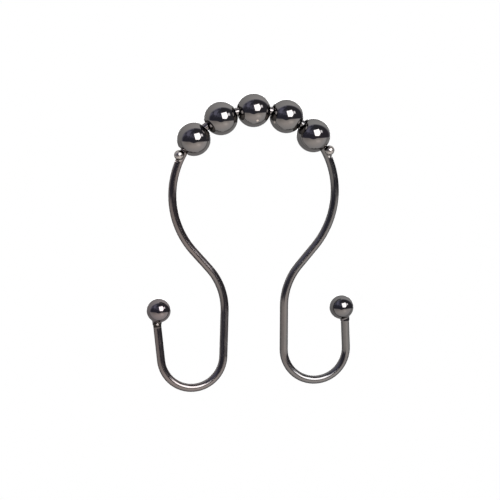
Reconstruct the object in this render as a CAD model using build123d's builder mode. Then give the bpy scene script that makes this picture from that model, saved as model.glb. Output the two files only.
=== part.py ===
from build123d import *
import os
from math import acos, asin, cos, degrees, radians, sin, sqrt

# Double shower curtain hook: one bent wire, two welded tip balls and five balls that roll
# on its crown. Millimetres and degrees. The wire is bent in the XZ plane and hangs with +Z up;
# the rod runs along Y. The origin is the centre that the crown is bent about.

# Wire and crown
wire_dia = 2.0
crown_radius = 20.25  # to the middle of the wire
crown_run_on = 5.0  # how far the crown's bend goes on past each stop, in degrees

# Rollers, threaded on the crown from left to right
roller_names = [
    "roller_left_outer",
    "roller_left_inner",
    "roller_centre",
    "roller_right_inner",
    "roller_right_outer",
]
roller_dia = 8.3
roller_bore_dia = 2.8
roller_mouth = 0.3  # chamfer at each end of the bore
roller_gap = 0.06  # between one roller and the next

# Stops: a nib raised on the wire by a punch, which leaves a pit behind it
stop_dome_radius = 1.2
stop_dome_rise = 1.2  # from the middle of the wire to the middle of the dome
stop_blend = 0.2  # fillet where the nib grows out of the wire
stop_turn = 40.0  # struck between straight outward, 0, and the front, 90
stop_gap = 0.06  # from the nib to the outermost roller's ball, whose mouth adds to it
pit_radius = 0.6
pit_depth = 0.4
pit_spacing = 1.6  # along the wire, from the middle of the nib

# Bends and slopes below the crown, the same on both sides. Radii are to the middle of the wire.
ring_radius = 21.05
slope_length = 5.95
knee_radius = 15.25
bend_radius = 7.8

# Left hook
left_slope_angle = 41.5  # from upright, leaning in
left_stem_lean = -1.7  # from upright, leaning in
left_stem_length = 11.2
left_leg_lean = 6.2  # from upright, leaning out
left_leg_length = 10.85

# Right hook
right_slope_angle = 40.8
right_stem_lean = 0.4
right_stem_length = 10.8
right_leg_lean = -2.1
right_leg_length = 8.15

# Tip balls
tip_dia = 5.9
tip_offset = 0.75  # the ball sits this far towards the stem from the leg's middle line
tip_seat = 1.6  # from the ball's centre to the end of the wire
weld_wall = 0.12  # weld metal round the wire
weld_length = 0.45  # weld metal below the ball
weld_blend = 0.4  # fillet from the ball to the weld
weld_gap = 0.02  # round the wire's end

# Sizes that follow
mouth_radius = roller_bore_dia / 2 + roller_mouth
mouth_height = sqrt((roller_dia / 2) ** 2 - mouth_radius**2)
bore_sag = crown_radius - sqrt(crown_radius**2 - mouth_height**2)
roller_circle = crown_radius - bore_sag / 2
roller_pitch = 2 * degrees(asin((roller_dia + roller_gap) / 2 / roller_circle))
roller_span = roller_pitch * (len(roller_names) - 1)

stop_circle = crown_radius + stop_dome_rise * cos(radians(stop_turn))
stop_forward = stop_dome_rise * sin(radians(stop_turn))
stop_reach = sqrt((roller_dia / 2 + stop_gap + stop_dome_radius) ** 2 - stop_forward**2)
stop_step = degrees(
    acos((roller_circle**2 + stop_circle**2 - stop_reach**2) / (2 * roller_circle * stop_circle))
)
stop_angle = roller_span / 2 + stop_step
crown_reach = stop_angle + crown_run_on


def crown_point(side, angle, radius):
    """A point in the wire's plane, at an angle from the top; side is 1 on the right, -1 on the left."""
    return Vector(side * radius * sin(radians(angle)), 0, radius * cos(radians(angle)))


def stop_plane(side, angle, rise):
    """A plane off the wire's middle line, facing the way that the stop is struck."""
    facing = crown_point(side, angle, cos(radians(stop_turn))) - Vector(0, sin(radians(stop_turn)), 0)
    return Plane(origin=crown_point(side, angle, crown_radius) + facing * rise, z_dir=facing)


def draw_side(side, slope_angle, stem_lean, stem_length, leg_lean, leg_length):
    """Draw the wire's middle line from the top of the crown to one end, and return its last stretch."""
    crown = JernArc((0, crown_radius), (side, 0), crown_radius, -side * crown_reach)
    ring = JernArc(crown @ 1, crown % 1, ring_radius, -side * (90 + slope_angle - crown_reach))
    slope = Line(ring @ 1, ring @ 1 + slope_length * (ring % 1))
    knee = JernArc(slope @ 1, slope % 1, knee_radius, side * (slope_angle - stem_lean))
    stem = Line(knee @ 1, knee @ 1 + stem_length * (knee % 1))
    bend = JernArc(stem @ 1, stem % 1, bend_radius, side * (180 + stem_lean - leg_lean))
    return Line(bend @ 1, bend @ 1 + leg_length * (bend % 1))


# The wire: one length from tip to tip, with the two stops struck in it
with BuildPart() as hook_wire:
    with BuildLine(Plane.XZ):
        left_leg = draw_side(
            -1, left_slope_angle, left_stem_lean, left_stem_length, left_leg_lean, left_leg_length
        )
        right_leg = draw_side(
            1, right_slope_angle, right_stem_lean, right_stem_length, right_leg_lean, right_leg_length
        )
    with BuildSketch(Plane(origin=left_leg @ 1, z_dir=left_leg % 1)):
        Circle(wire_dia / 2)
    sweep()
    for side in (-1, 1):
        with Locations(stop_plane(side, stop_angle, stop_dome_rise)):
            Sphere(stop_dome_radius)
        fillet(hook_wire.edges(Select.LAST).filter_by(GeomType.BSPLINE), stop_blend)
        pit_angle = stop_angle + degrees(pit_spacing / crown_radius)
        with Locations(stop_plane(side, pit_angle, wire_dia / 2 + pit_radius - pit_depth)):
            Sphere(pit_radius, mode=Mode.SUBTRACT)
hook_wire.part.label = "hook_wire"


def make_roller(name, angle):
    """A turned ball, bored through along the crown's tangent at its place."""
    along_wire = Vector(cos(radians(angle)), 0, -sin(radians(angle)))
    centre = crown_point(1, angle, roller_circle)
    with BuildPart() as roller:
        with BuildSketch(Plane(origin=centre, x_dir=(0, 1, 0), z_dir=along_wire.cross(Vector(0, 1, 0)))):
            with BuildLine():
                ThreePointArc(
                    (mouth_radius, -mouth_height), (roller_dia / 2, 0), (mouth_radius, mouth_height)
                )
                Polyline(
                    (mouth_radius, mouth_height),
                    (roller_bore_dia / 2, mouth_height - roller_mouth),
                    (roller_bore_dia / 2, roller_mouth - mouth_height),
                    (mouth_radius, -mouth_height),
                )
            make_face()
        revolve(axis=Axis(centre, along_wire))
    roller.part.label = name
    return roller.part


def make_tip_ball(name, leg, side):
    """A ball welded off centre on the wire's end, with the ring of weld metal below it."""
    along_leg = leg % 1
    outward = Vector(0, 1, 0).cross(along_leg) * side
    centre = leg @ 1 + along_leg * tip_seat - outward * tip_offset
    with BuildPart(Plane(origin=centre, x_dir=outward, z_dir=along_leg)) as tip:
        Sphere(tip_dia / 2)
        with Locations((tip_offset, 0, -tip_dia / 2 - weld_length)):
            Cylinder(wire_dia / 2 + weld_wall, tip_dia / 2, align=(Align.CENTER, Align.CENTER, Align.MIN))
        fillet(tip.edges(Select.LAST).filter_by(GeomType.BSPLINE), weld_blend)
        with Locations((tip_offset, 0, -tip_seat)):
            Cylinder(
                wire_dia / 2 + weld_gap,
                tip_dia,
                align=(Align.CENTER, Align.CENTER, Align.MAX),
                mode=Mode.SUBTRACT,
            )
    tip.part.label = name
    return tip.part


rollers = [
    make_roller(name, roller_pitch * place - roller_span / 2) for place, name in enumerate(roller_names)
]
left_tip_ball = make_tip_ball("left_tip_ball", left_leg, -1)
right_tip_ball = make_tip_ball("right_tip_ball", right_leg, 1)

os.makedirs("parts", exist_ok=True)
for piece in [hook_wire.part, left_tip_ball, right_tip_ball, *rollers]:
    export_step(piece, f"parts/{piece.label}.step")
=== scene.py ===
import math

import bmesh
import bpy
from mathutils import Matrix

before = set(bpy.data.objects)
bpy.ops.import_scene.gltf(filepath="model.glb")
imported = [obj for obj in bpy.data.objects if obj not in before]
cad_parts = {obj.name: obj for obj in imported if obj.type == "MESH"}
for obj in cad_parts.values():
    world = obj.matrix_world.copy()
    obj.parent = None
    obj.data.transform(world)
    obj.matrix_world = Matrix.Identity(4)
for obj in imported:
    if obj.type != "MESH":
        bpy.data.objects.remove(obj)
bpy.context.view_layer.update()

MM = 0.001  # metres


def linear(hex_colour):
    """An sRGB hex colour as linear red, green, blue and alpha."""
    channels = [int(hex_colour[place : place + 2], 16) / 255 for place in (1, 3, 5)]
    return [c / 12.92 if c <= 0.04045 else ((c + 0.055) / 1.055) ** 2.4 for c in channels] + [1.0]


def add(tree, kind, inputs=None, **settings):
    """Add a node. Each of its inputs takes a plain value or another node's output."""
    node = tree.nodes.new(kind)
    for name, value in settings.items():
        setattr(node, name, value)
    for socket, value in (inputs or {}).items():
        if isinstance(value, bpy.types.NodeSocket):
            tree.links.new(value, node.inputs[socket])
        else:
            node.inputs[socket].default_value = value
    return node


# Finishes. Sizes and places are in mm, in the hook's own frame.
DRIFT_REACH = 24.0  # to each side, over which the plate drifts from one shade to the other
STAIN_SIZE = 6.0  # from one stain to the next
STAIN_NOISE = (0.35, 0.65)  # the noise's values where a stain is strongest one way and the other
STAIN_SHARE = 0.2  # how far a stain shifts the plate towards either shade
MARK_WIDTH = 0.25  # real polishing marks are some hundredths wide, too fine to show
MARK_NOISE = (0.3, 0.75)  # the noise's values where the plate is polished best and worst
WEAR_AND_PAINTED_LIGHT_EDGE = 0.12  # over which the plate changes round a rubbed place and round a painted one
WEAR_AND_PAINTED_LIGHT_HAZE = 0.12  # what a rubbed place, and a painted one alike, adds to the roughness
DENT_SIZE = 0.7  # from one dent to the next in a rubbed place and in a painted one
SET_BACK = math.radians(7)  # of the right-hand stem and leg
SET_BACK_BOUNDS = (("X", 4.0, 7.0), ("Z", -22.0, -29.0), ("Z", -43.5, -39.0))  # from none to all


def black_nickel(
    name, shades, edge, haze, ripple, ripple_size, streaks=(1, 1, 1), wear_and_painted_light=(), bent_back=None
):
    """Black nickel plate on polished steel.

    The eye sees dark, smooth metal that mirrors the room in warm grey, with a bluish dark where
    the room is dim. The reflections waver a little, because the plate follows the ground steel
    under it, and the plate's tint drifts from brown to green across the hook.

    shades are the hex colours on the left and on the right, edge the share of the light that the
    plate mirrors where the eye grazes it, haze the roughness where it is polished best and worst,
    ripple and ripple_size the height and width of the waves, and streaks how the polishing marks
    are squeezed along X, Y and Z. worn lists the places where the plate is rubbed, and the places
    at the welds where painted shade and a painted highlight stand in for what the metal mirrors,
    each a point, a radius, a hex colour and the height of its dents. bent_back builds a change to
    the normal.
    """
    material = bpy.data.materials.new(name)
    material.use_nodes = True
    tree = material.node_tree
    metal = tree.nodes["Principled BSDF"]
    metal.inputs["Metallic"].default_value = 1.0
    metal.inputs["Specular Tint"].default_value = (edge, edge, edge, 1.0)

    place = add(tree, "ShaderNodeTexCoord").outputs["Object"]
    in_mm = add(tree, "ShaderNodeMapping", {"Vector": place, "Scale": (1 / MM,) * 3}).outputs[0]

    stains = add(
        tree, "ShaderNodeTexNoise", {"Vector": in_mm, "Scale": 1 / STAIN_SIZE, "Detail": 3.0}
    )
    stains = add(
        tree,
        "ShaderNodeMapRange",
        {
            "Value": stains.outputs[0],
            "From Min": STAIN_NOISE[0],
            "From Max": STAIN_NOISE[1],
            "To Min": -STAIN_SHARE,
            "To Max": STAIN_SHARE,
        },
    ).outputs[0]
    across = add(tree, "ShaderNodeSeparateXYZ", {0: in_mm}).outputs["X"]
    drift = add(
        tree,
        "ShaderNodeMapRange",
        {"Value": across, "From Min": -DRIFT_REACH, "From Max": DRIFT_REACH},
    ).outputs[0]
    drift = add(tree, "ShaderNodeMath", {0: drift, 1: stains}, operation="ADD").outputs[0]
    colour = add(
        tree,
        "ShaderNodeMix",
        {"Factor": drift, "A": linear(shades[0]), "B": linear(shades[1])},
        data_type="RGBA",
    ).outputs["Result"]

    along = add(tree, "ShaderNodeMapping", {"Vector": in_mm, "Scale": streaks}).outputs[0]
    marks = add(
        tree, "ShaderNodeTexNoise", {"Vector": along, "Scale": 1 / MARK_WIDTH, "Detail": 4.0}
    )
    rough = add(
        tree,
        "ShaderNodeMapRange",
        {
            "Value": marks.outputs[0],
            "From Min": MARK_NOISE[0],
            "From Max": MARK_NOISE[1],
            "To Min": haze[0],
            "To Max": haze[1],
        },
    ).outputs[0]

    dents = add(
        tree, "ShaderNodeTexNoise", {"Vector": in_mm, "Scale": 1 / DENT_SIZE, "Detail": 2.0}
    ).outputs[0]
    waves = add(
        tree, "ShaderNodeTexNoise", {"Vector": in_mm, "Scale": 1 / ripple_size, "Detail": 2.0}
    ).outputs[0]
    relief = add(tree, "ShaderNodeMath", {0: waves, 1: ripple}, operation="MULTIPLY").outputs[0]
    # Each place mixes in its own colour: wear where the plate is rubbed, painted shade and a
    # painted highlight at the welds
    for point, radius, shade, dent in wear_and_painted_light:
        away = add(tree, "ShaderNodeVectorMath", {0: in_mm, 1: point}, operation="DISTANCE")
        wear_and_paint_share = add(
            tree,
            "ShaderNodeMapRange",
            {
                "Value": away.outputs["Value"],
                "From Min": radius - WEAR_AND_PAINTED_LIGHT_EDGE,
                "From Max": radius + WEAR_AND_PAINTED_LIGHT_EDGE,
                "To Min": 1.0,
                "To Max": 0.0,
            },
            interpolation_type="SMOOTHSTEP",
        ).outputs[0]
        colour = add(
            tree,
            "ShaderNodeMix",
            {"Factor": wear_and_paint_share, "A": colour, "B": linear(shade)},
            data_type="RGBA",
        ).outputs["Result"]
        rough = add(
            tree, "ShaderNodeMath", {0: wear_and_paint_share, 1: WEAR_AND_PAINTED_LIGHT_HAZE, 2: rough}, operation="MULTIPLY_ADD"
        ).outputs[0]
        local = add(tree, "ShaderNodeMath", {0: wear_and_paint_share, 1: dent}, operation="MULTIPLY").outputs[0]
        relief = add(
            tree, "ShaderNodeMath", {0: local, 1: dents, 2: relief}, operation="MULTIPLY_ADD"
        ).outputs[0]
    tree.links.new(colour, metal.inputs["Base Color"])
    tree.links.new(rough, metal.inputs["Roughness"])

    bump = add(tree, "ShaderNodeBump", {"Height": relief, "Strength": 1.0, "Distance": MM})
    if bent_back:
        tree.links.new(bent_back(tree, in_mm), bump.inputs["Normal"])
    tree.links.new(bump.outputs[0], metal.inputs["Normal"])
    return material


def right_hook_set_back(tree, in_mm):
    """The right-hand stem and leg are sprung back a little, so they mirror what is lower down.

    The solids lie in one plane, so it is the surface's normal that leans.
    """
    place = add(tree, "ShaderNodeSeparateXYZ", {0: in_mm}).outputs
    amount = 1.0
    for axis, start, end in SET_BACK_BOUNDS:
        step = add(
            tree,
            "ShaderNodeMapRange",
            {"Value": place[axis], "From Min": start, "From Max": end},
            interpolation_type="SMOOTHSTEP",
        ).outputs[0]
        amount = add(tree, "ShaderNodeMath", {0: amount, 1: step}, operation="MULTIPLY").outputs[0]
    lean = add(
        tree,
        "ShaderNodeVectorMath",
        {0: (0, 0, -math.sin(SET_BACK)), "Scale": amount},
        operation="SCALE",
    ).outputs[0]
    facing = add(tree, "ShaderNodeNewGeometry").outputs["Normal"]
    leaned = add(tree, "ShaderNodeVectorMath", {0: facing, 1: lean}, operation="ADD").outputs[0]
    return add(tree, "ShaderNodeVectorMath", {0: leaned}, operation="NORMALIZE").outputs[0]


# Where the plate is rubbed, and where painted shade and a painted highlight at the welds stand in
# for what the metal mirrors there: a point, a radius, a colour and the height of the dents
STOPS = [
    ((-18.81, -0.77, 9.71), 1.25, "#a49e9a", 0.16),
    ((18.81, -0.77, 9.71), 1.25, "#a49e9a", 0.16),
    ((-18.57, -0.98, 8.58), 0.4, "#aaa6a2", 0.10),  # where the punch slid off each nib
    ((18.70, -0.97, 8.35), 0.4, "#aaa6a2", 0.10),
]
CHIPS = [
    ((0.21, -3.59, 18.00), 0.28, "#bcb0a8", 0.0),  # low on the middle roller
    ((4.75, -2.06, 17.20), 0.28, "#bcb0a8", 0.0),  # low on the roller to its right
]
WELD_PAINTED_SHADE_AND_GLINT = [
    ((-24.17, -0.30, -31.85), 1.1, "#3a3634", 0.25),  # painted shade and dark reflection under the tip ball
    # a painted highlight: the window mirrored in the left weld
    ((-24.27, -0.99, -31.85), 0.27, "#d8d0cc", 0.0),
    # painted shade and dark reflection at the right weld, under its tip ball
    ((22.04, -0.40, -32.05), 0.4, "#3a3634", 0.2),
]

drawn_wire = black_nickel(
    "black_nickel_on_drawn_steel_wire",
    shades=("#716a69", "#6b6a6a"),
    edge=0.2,
    haze=(0.11, 0.22),
    ripple=0.012,
    ripple_size=4.0,
    streaks=(0.12, 1.0, 0.12),
    wear_and_painted_light=STOPS + WELD_PAINTED_SHADE_AND_GLINT,
    bent_back=right_hook_set_back,
)
tumbled_balls = black_nickel(
    "black_nickel_on_tumbled_steel_rollers",
    shades=("#726e6d", "#6f6d6c"),
    edge=0.6,
    haze=(0.05, 0.10),
    ripple=0.014,
    ripple_size=3.0,
    wear_and_painted_light=CHIPS,
)
welded_balls = black_nickel(
    "black_nickel_on_welded_steel_tip_balls",
    shades=("#70696a", "#6a6868"),
    edge=0.6,
    haze=(0.05, 0.10),
    ripple=0.014,
    ripple_size=2.0,
    wear_and_painted_light=WELD_PAINTED_SHADE_AND_GLINT,
)

for name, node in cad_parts.items():
    finish = drawn_wire
    if name.startswith("roller"):
        finish = tumbled_balls
    elif name.endswith("tip_ball"):
        finish = welded_balls
    for slot in node.material_slots:
        slot.material = finish

# The camera: a long lens, a little above the hook and to its left
CAMERA_YAW = math.radians(12.29)
CAMERA_HEIGHT = math.radians(8.75)
CAMERA_DISTANCE = 3.0
PIXELS_PER_METRE = 4094.7
IMAGE_WIDTH = 500
SENSOR_WIDTH = 36.0
MIDDLE_RIGHT = -0.894 * MM  # the middle of the picture, from the crown's centre
MIDDLE_UP = -14.263 * MM

turn = Matrix.Rotation(-CAMERA_YAW, 3, "Z") @ Matrix.Rotation(math.pi / 2 - CAMERA_HEIGHT, 3, "X")
right, up, back = turn.col
camera = bpy.data.objects.new("camera", bpy.data.cameras.new("camera"))
camera.data.sensor_width = SENSOR_WIDTH
camera.data.lens = PIXELS_PER_METRE * SENSOR_WIDTH * CAMERA_DISTANCE / IMAGE_WIDTH
target = MIDDLE_RIGHT * right + MIDDLE_UP * up
camera.matrix_world = Matrix.Translation(target + CAMERA_DISTANCE * back) @ turn.to_4x4()
bpy.context.scene.collection.objects.link(camera)
bpy.context.scene.camera = camera

# The floor, white and well below the hook
FLOOR_HEIGHT = -0.13
FLOOR_RADIUS = 1.6
FLOOR_SIDES = 96

disc = bmesh.new()
bmesh.ops.create_circle(disc, cap_ends=True, segments=FLOOR_SIDES, radius=FLOOR_RADIUS)
bmesh.ops.translate(disc, verts=disc.verts, vec=(0, 0, FLOOR_HEIGHT))
floor = bpy.data.objects.new("floor", bpy.data.meshes.new("floor"))
disc.to_mesh(floor.data)
disc.free()
bpy.context.scene.collection.objects.link(floor)
paper = bpy.data.materials.new("white_matt_paper")
paper.use_nodes = True
paper_surface = paper.node_tree.nodes["Principled BSDF"]
paper_surface.inputs["Base Color"].default_value = linear("#ffffff")
paper_surface.inputs["Roughness"].default_value = 1.0
paper_surface.inputs["Specular IOR Level"].default_value = 0.0
floor.data.materials.append(paper)
floor.visible_glossy = False  # the studio below stands for it in the metal

# The studio. The camera sees white all round, and so does the metal behind and above the hook. In
# front the metal sees a bright floor that fades towards the horizon, and over it a dim room, bluish
# and uneven on the left, with one big window and the light that falls on the wall beside it. Matt
# surfaces get one plain level. A level of 1 is white.
BACK_LEVEL = 1.0
BACK_LEAN = (0.25, 0, 0.25)  # how much brighter it is on the right and at the top
BEHIND_LEVEL = 6.0  # a second window straight behind, which only the hook's back mirrors
FLOOR_LEVEL = 1.17
FLOOR_LEAN = (0.22, -0.55, 0)  # how much brighter it is on the right and in front
FAR_FLOOR = 0.65  # how much it fades towards the horizon
SHEEN_LEVEL = 0.8  # what the window adds to the floor below it
WINDOW_LEVEL = 8.0
WALL_LEVEL = 4.2
ROOM_LEVELS = (0.16, 0.75)  # between the room's shapes and on them
ROOM_SHAPES = 3.0  # to the radian
ROOM_SHAPE_NOISE = (0.36, 0.64)  # the noise's values at the start and the end of a shape's edge
HORIZON = -0.18  # where the floor ends, seen from the hook, in radians above the level
HORIZON_SOFT = 0.03
TRIPOD_DEPTH = 0.15  # how much lower the dark reaches straight in front

# Outlines on a mirror ball of radius 1, X to the right and Z up
ROOM_MIDDLE = (0.12, 0, -0.02)
ROOM_SCALE = (1 / 0.80, 0, 1 / 0.64)  # from how far it goes to the side and up
ROOM_SOFT = 0.09
FLOOR_EDGE_MIDDLE = (0.03, 0, -0.03)
FLOOR_EDGE_REACH = 0.80
FLOOR_EDGE_WIDTH = 0.06
FLOOR_EDGE_LEVEL = 0.6  # of the floor's level beside it

# Patches in bearing and elevation, in radians from straight in front. Each edge is the way into the
# patch, how far along it the middle of the edge lies, and the soft stretch on either side.
TRIPOD = [((1, 0, 0), -0.3, 0.3), ((-1, 0, 0), -0.3, 0.3)]
TOWARDS_HORIZON = [((0, 1, 0), -0.62, 0.35)]
SHEEN = [
    ((1, 0, 0), 0.45, 0.3),
    ((-1, 0, 0), -1.0, 0.3),
    ((0, 1, 0), -0.75, 0.2),
    ((0, -1, 0), 0.5, 0.2),
]
ROOM_RIGHT = [((1, 0, 0), 0.05, 0.15)]
ROOM_UPPER_LEFT = [((0, 1, 0), 0.15, 0.15), ((-1, 0, 0), -0.05, 0.15)]
WINDOW = [
    ((1, 0.25, 0), 0.2, 0.02),
    ((-1, 0.69, 0), -0.725, 0.02),
    ((-1, -0.185, 0), -0.93, 0.02),
    ((0, 1, 0), -0.06, 0.02),
    ((0.15, -1, 0), -0.6, 0.02),
]
WALL = [
    ((1, 0, 0), 0.92, 0.05),
    ((-1, 0, 0), -1.2, 0.05),
    ((0, 1, 0), 0.28, 0.05),
    ((0, -1, 0), -0.53, 0.05),
]

# Patches as the lens sees them, with X to the right, Y away and Z up
FADING_FLOOR = [((0, -1, 0), 0.4, 0.4)]
WARM_FLOOR = [((0, -1, 0), 0.2, 0.5)]
BEHIND = [
    ((1, 0, 0), -0.22, 0.02),
    ((-1, 0, 0), -0.16, 0.02),
    ((0, 0, 1), 0.0, 0.02),
    ((0, 0, -1), -0.34, 0.02),
    ((0, 1, 0), 0.8, 0.03),
]

world = bpy.data.worlds.new("studio")
bpy.context.scene.world = world
world.use_nodes = True
studio = world.node_tree
studio.nodes.clear()


def patch(place, edges, within=1.0):
    """A soft-edged patch of the studio: 1 inside all of its edges and 0 outside any of them.

    place is a vector for where a ray points, and within is a patch that this one lies in.
    """
    for inwards, start, soft in edges:
        depth = add(
            studio, "ShaderNodeVectorMath", {0: place, 1: inwards}, operation="DOT_PRODUCT"
        )
        inside = add(
            studio,
            "ShaderNodeMapRange",
            {
                "Value": depth.outputs["Value"],
                "From Min": start - soft,
                "From Max": start + soft,
            },
            interpolation_type="SMOOTHSTEP",
        ).outputs[0]
        within = add(
            studio, "ShaderNodeMath", {0: within, 1: inside}, operation="MULTIPLY"
        ).outputs[0]
    return within


def reach(middle, scale):
    """How far from a middle a mirror ball shows where a ray points, scaled sideways and upwards."""
    shift = [-start * factor for start, factor in zip(middle, scale)]
    scaled = add(
        studio,
        "ShaderNodeVectorMath",
        {0: on_ball, 1: scale, 2: shift},
        operation="MULTIPLY_ADD",
    ).outputs[0]
    return add(studio, "ShaderNodeVectorMath", {0: scaled}, operation="LENGTH").outputs["Value"]


# Where a ray points: as the lens sees it, as a bearing and an elevation, and on a mirror ball
direction = add(studio, "ShaderNodeTexCoord").outputs["Generated"]
level_view = add(
    studio, "ShaderNodeMapping", {0: direction, "Rotation": (0, 0, CAMERA_YAW)}
).outputs[0]
lens_view = add(
    studio, "ShaderNodeMapping", {0: level_view, "Rotation": (CAMERA_HEIGHT, 0, 0)}
).outputs[0]
across, away, above = add(studio, "ShaderNodeSeparateXYZ", {0: lens_view}).outputs
towards = add(studio, "ShaderNodeMath", {0: away, 1: -1.0}, operation="MULTIPLY").outputs[0]
bearing = add(studio, "ShaderNodeMath", {0: across, 1: towards}, operation="ARCTAN2").outputs[0]
elevation = add(studio, "ShaderNodeMath", {0: above}, operation="ARCSINE").outputs[0]
angles = add(studio, "ShaderNodeCombineXYZ", {0: bearing, 1: elevation}).outputs[0]
on_ball = add(
    studio, "ShaderNodeVectorMath", {0: lens_view, 1: (0, -1, 0)}, operation="ADD"
).outputs[0]
on_ball = add(studio, "ShaderNodeVectorMath", {0: on_ball}, operation="NORMALIZE").outputs[0]

# The horizon, level but for the tripod that hangs below it
height = add(studio, "ShaderNodeSeparateXYZ", {0: level_view}).outputs["Z"]
height = add(studio, "ShaderNodeMath", {0: height}, operation="ARCSINE").outputs[0]
tripod = patch(angles, TRIPOD)
skyline = add(studio, "ShaderNodeCombineXYZ", {0: height, 1: tripod}).outputs[0]
over_floor = patch(skyline, [((1, TRIPOD_DEPTH, 0), HORIZON, HORIZON_SOFT)])

# The floor
floor_level = add(
    studio, "ShaderNodeVectorMath", {0: lens_view, 1: FLOOR_LEAN}, operation="DOT_PRODUCT"
).outputs["Value"]
far_floor = patch(lens_view, FADING_FLOOR, patch(angles, TOWARDS_HORIZON))
sheen = patch(angles, SHEEN)
for where, change in ((1.0, FLOOR_LEVEL), (far_floor, -FAR_FLOOR), (sheen, SHEEN_LEVEL)):
    floor_level = add(
        studio,
        "ShaderNodeMath",
        {0: where, 1: change, 2: floor_level},
        operation="MULTIPLY_ADD",
    ).outputs[0]
from_edge = add(
    studio,
    "ShaderNodeMath",
    {0: reach(FLOOR_EDGE_MIDDLE, (1, 0, 1)), 1: FLOOR_EDGE_REACH},
    operation="SUBTRACT",
).outputs[0]
from_edge = add(studio, "ShaderNodeMath", {0: from_edge}, operation="ABSOLUTE").outputs[0]
edge_level = add(
    studio,
    "ShaderNodeMapRange",
    {"Value": from_edge, "From Max": FLOOR_EDGE_WIDTH, "To Min": FLOOR_EDGE_LEVEL},
    interpolation_type="SMOOTHSTEP",
).outputs[0]
floor_level = add(
    studio, "ShaderNodeMath", {0: floor_level, 1: edge_level}, operation="MULTIPLY"
).outputs[0]
warm_floor = patch(lens_view, WARM_FLOOR)

# The white behind and above, with its window
back_level = add(
    studio, "ShaderNodeVectorMath", {0: lens_view, 1: BACK_LEAN}, operation="DOT_PRODUCT"
).outputs["Value"]
back_level = add(
    studio, "ShaderNodeMath", {0: back_level, 1: BACK_LEVEL}, operation="ADD"
).outputs[0]
behind = patch(lens_view, BEHIND)

# The room, its window and the lit wall
room = add(
    studio,
    "ShaderNodeMapRange",
    {
        "Value": reach(ROOM_MIDDLE, ROOM_SCALE),
        "From Min": 1 + ROOM_SOFT,
        "From Max": 1 - ROOM_SOFT,
    },
    interpolation_type="SMOOTHSTEP",
).outputs[0]
room = add(studio, "ShaderNodeMath", {0: room, 1: over_floor}, operation="MULTIPLY").outputs[0]
room_right = patch(angles, ROOM_RIGHT, room)
shapes = add(
    studio, "ShaderNodeTexNoise", {"Vector": lens_view, "Scale": ROOM_SHAPES, "Detail": 3.0}
).outputs[0]
shapes = add(
    studio,
    "ShaderNodeMapRange",
    {"Value": shapes, "From Min": ROOM_SHAPE_NOISE[0], "From Max": ROOM_SHAPE_NOISE[1]},
    interpolation_type="SMOOTHSTEP",
).outputs[0]
shapes = patch(angles, ROOM_UPPER_LEFT, shapes)
room_level = add(
    studio, "ShaderNodeMix", {"Factor": shapes, 2: ROOM_LEVELS[0], 3: ROOM_LEVELS[1]}
).outputs[0]
window = patch(angles, WINDOW)
wall = patch(angles, WALL)

# What the metal sees, from the floor up, each part over those before it
seen_level = floor_level
seen_colour = linear("#ffffff")
for where, part_level, part_colour in (
    (warm_floor, floor_level, "#fff8f2"),
    (over_floor, back_level, "#ffffff"),
    (behind, BEHIND_LEVEL, "#ffffff"),
    (room, room_level, "#d3d4f6"),
    (room_right, room_level, "#dedcee"),
    (wall, WALL_LEVEL, "#ffffff"),
    (window, WINDOW_LEVEL, "#ffffff"),
):
    seen_level = add(
        studio, "ShaderNodeMix", {"Factor": where, 2: seen_level, 3: part_level}
    ).outputs[0]
    seen_colour = add(
        studio,
        "ShaderNodeMix",
        {"Factor": where, "A": seen_colour, "B": linear(part_colour)},
        data_type="RGBA",
    ).outputs["Result"]

rays = add(studio, "ShaderNodeLightPath").outputs
metal_rays = add(
    studio,
    "ShaderNodeMath",
    {0: rays["Is Glossy Ray"], 1: rays["Is Transmission Ray"]},
    operation="MAXIMUM",
).outputs[0]
level = add(studio, "ShaderNodeMix", {"Factor": metal_rays, 2: 1.0, 3: seen_level}).outputs[0]
colour = add(
    studio,
    "ShaderNodeMix",
    {"Factor": metal_rays, "A": linear("#ffffff"), "B": seen_colour},
    data_type="RGBA",
).outputs["Result"]
light = add(studio, "ShaderNodeBackground", {"Color": colour, "Strength": level})
add(studio, "ShaderNodeOutputWorld", {"Surface": light.outputs[0]})

bpy.context.scene.view_settings.view_transform = "Standard"
